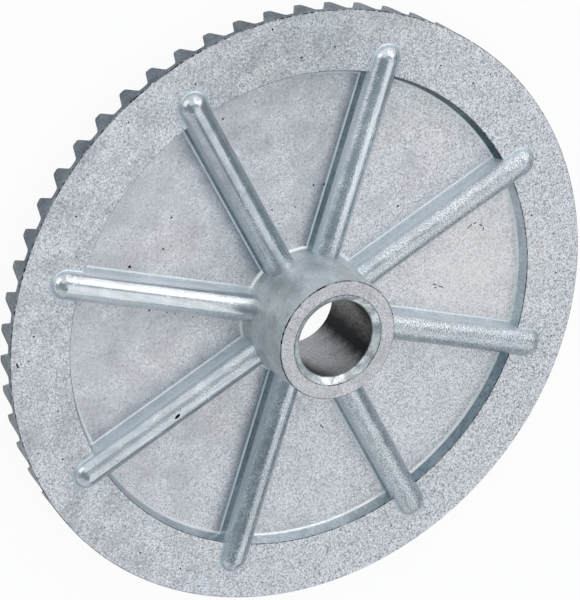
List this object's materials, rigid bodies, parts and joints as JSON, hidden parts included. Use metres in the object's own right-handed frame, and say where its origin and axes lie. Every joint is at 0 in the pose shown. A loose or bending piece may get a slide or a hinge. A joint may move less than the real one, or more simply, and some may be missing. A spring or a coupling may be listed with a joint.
{
  "type": "bevel ring gear",
  "caption": "Cast straight-bevel ring gear: flat toothed rim on a thin web, round-topped radial ribs on the back and a tapered hub with a plain through bore.",
  "frame": {"origin": "on the bore axis, in the plane of the lowest tooth tips, on which the gear lies", "axes": "+Z along the bore axis from the teeth towards the ribbed back and the hub face; +X through the middle of a pocket between two ribs"},
  "size_m": [0.156, 0.156, 0.0246],
  "materials": {
    "cast_zinc": "as cast, satin, blue-grey"
  },
  "bodies": {
    "root": {"ring_gear": "cast_zinc"}
  },
  "joints": []
}
